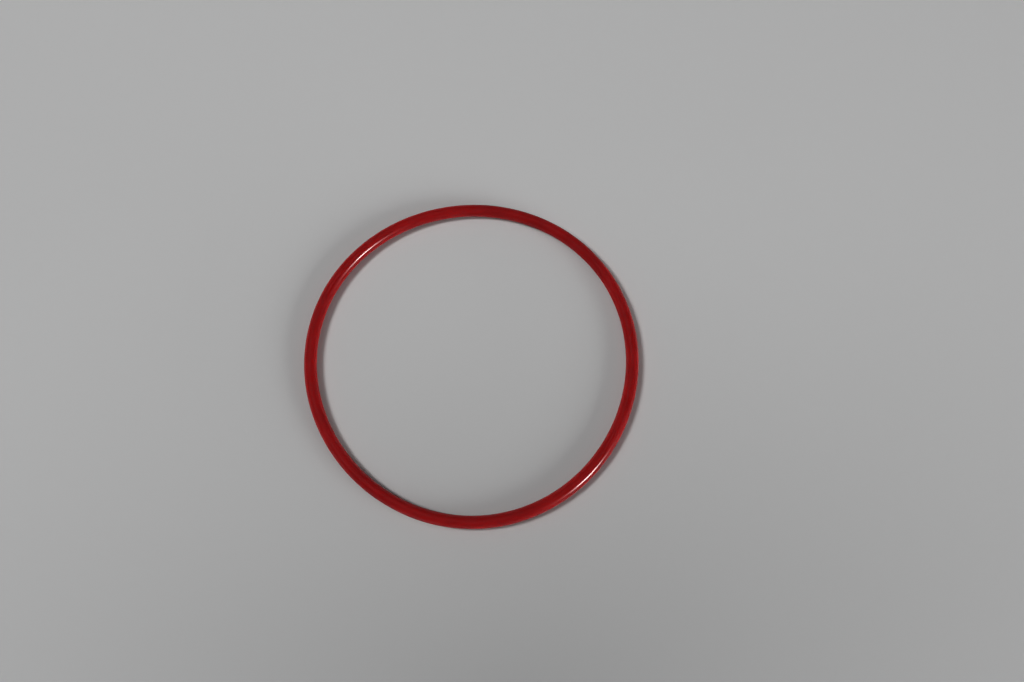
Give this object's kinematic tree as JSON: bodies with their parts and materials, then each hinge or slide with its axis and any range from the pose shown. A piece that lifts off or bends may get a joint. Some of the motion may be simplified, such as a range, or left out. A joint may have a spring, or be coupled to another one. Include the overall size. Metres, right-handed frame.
{
  "type": "silicone o-ring",
  "caption": "Round-section silicone o-ring seal, moulded in one piece, lying flat as a circle.",
  "frame": {"origin": "centre of the ring on its mid-plane", "axes": "+Z along the ring's axis of revolution, +X and +Y in its mid-plane"},
  "size_m": [0.0956, 0.0956, 0.0036],
  "materials": {
    "silicone": "satin"
  },
  "bodies": {
    "root": {"o_ring": "silicone"}
  },
  "joints": []
}
